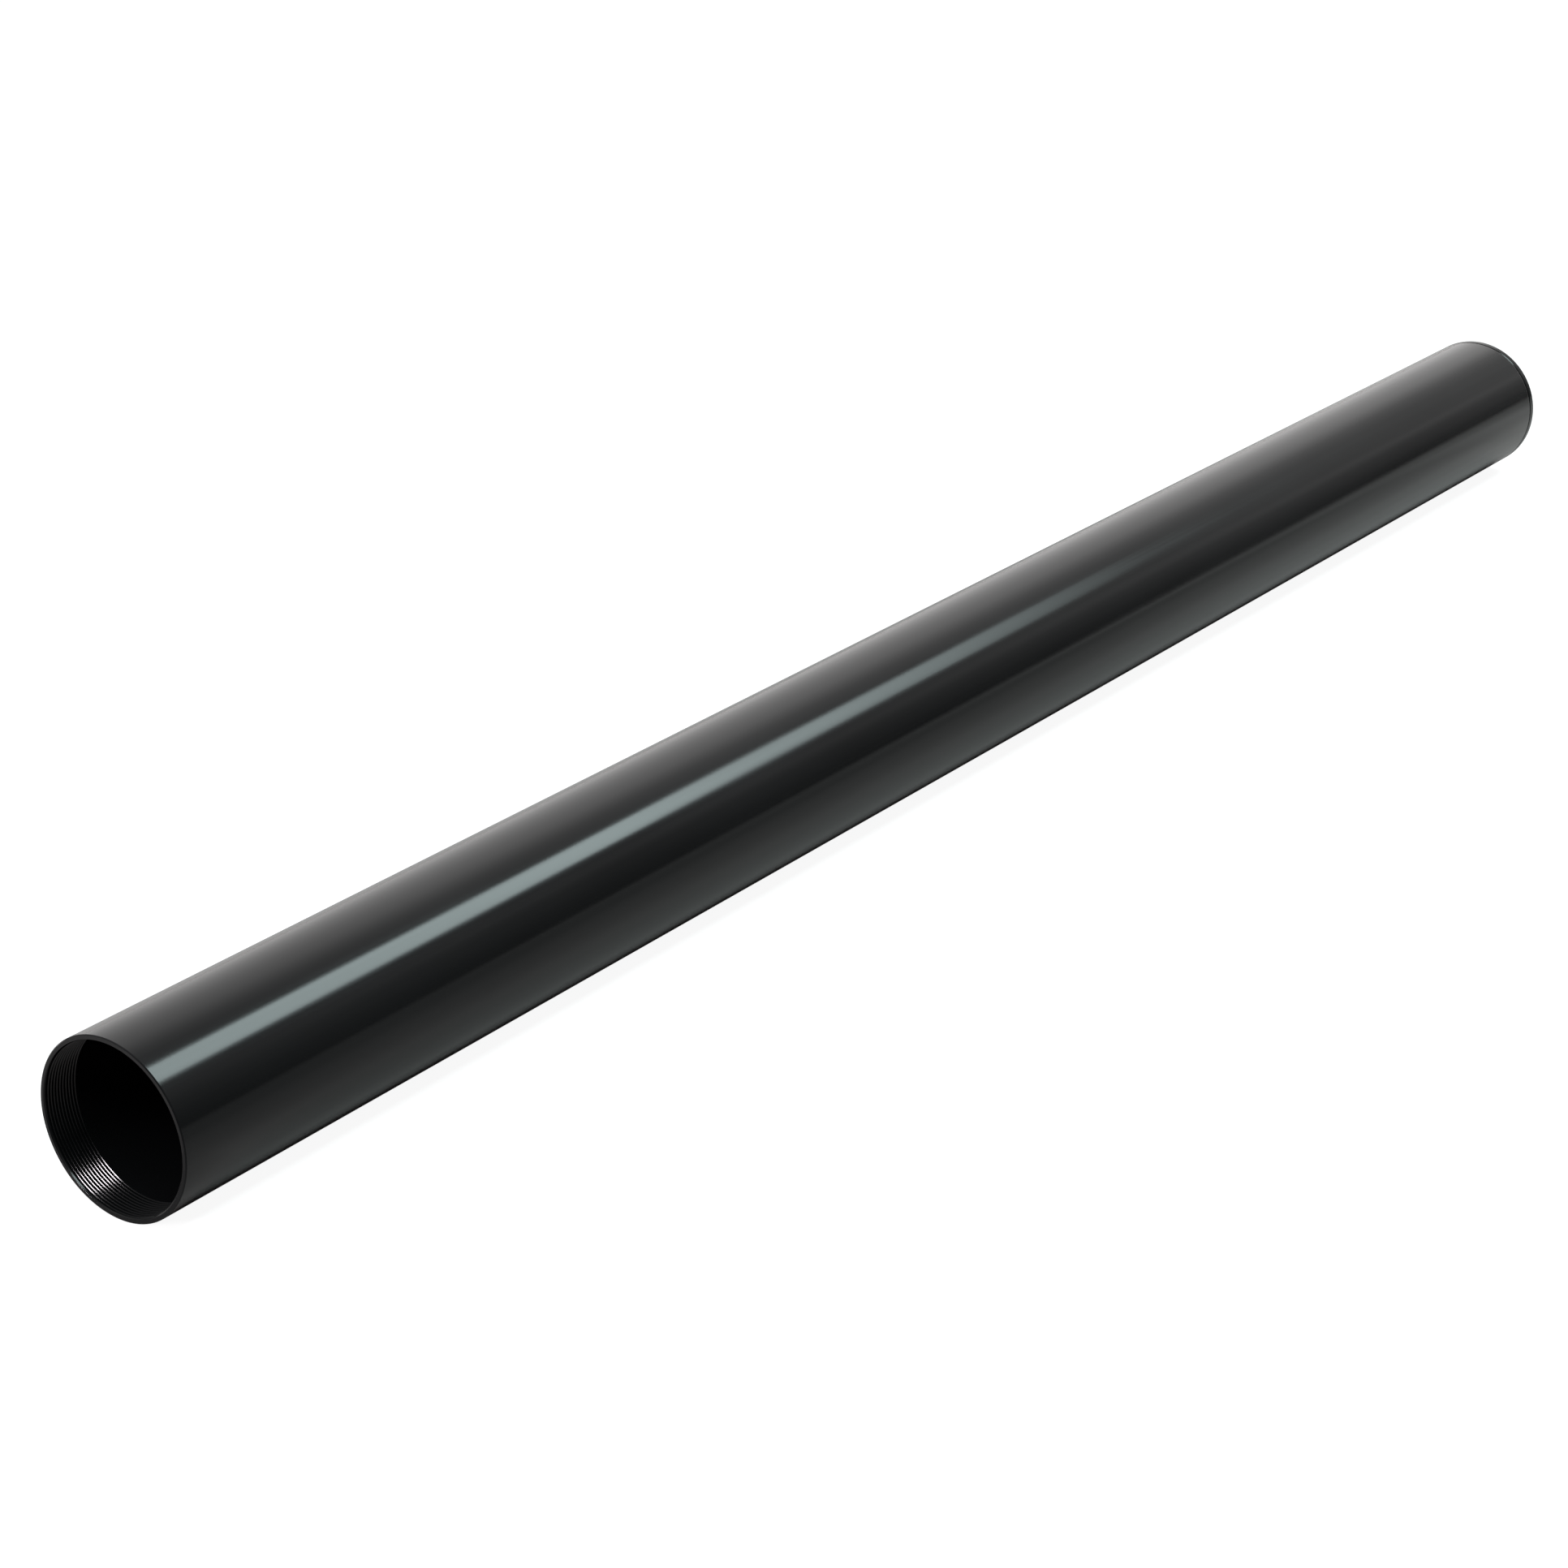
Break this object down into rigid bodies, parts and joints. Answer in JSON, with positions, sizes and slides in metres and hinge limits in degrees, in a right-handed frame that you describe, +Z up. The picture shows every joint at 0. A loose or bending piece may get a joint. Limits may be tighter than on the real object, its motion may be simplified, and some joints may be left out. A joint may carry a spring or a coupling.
{
  "type": "rod case",
  "caption": "Straight thin-walled anodised tube with an open, internally threaded mouth and a screw-in base cap with O-ring and foam pad, for storing and carrying a fishing rod.",
  "frame": {"origin": "on the surface that the case lies on, under the middle of its length", "axes": "+Y along the tube from the open mouth to the base cap, +Z up, +X to the right seen from the mouth"},
  "size_m": [0.05, 0.75, 0.05],
  "materials": {
    "anodised_tube": "satin",
    "anodised_cap": "satin",
    "o_ring_rubber": "matte",
    "pad_foam": "matte"
  },
  "bodies": {
    "tube": {"tube_body": "anodised_tube"},
    "seal": {"base_o_ring": "o_ring_rubber"},
    "cap": {"base_cap": "anodised_cap", "base_pad": "pad_foam"}
  },
  "joints": [
    {"name": "base_travel", "type": "slide", "parent": "tube", "child": "seal", "axis": [0, 1, 0], "range_m": [0, 0.01]},
    {"name": "base_turn", "type": "hinge", "parent": "seal", "child": "cap", "pos_m": [0, 0.37, 0.025], "axis": [0, 1, 0], "range_deg": [0, 3600]}
  ],
  "couplings": [
    {"joint": "base_travel", "follows": "base_turn", "m_per_rad": 0.00015915}
  ]
}
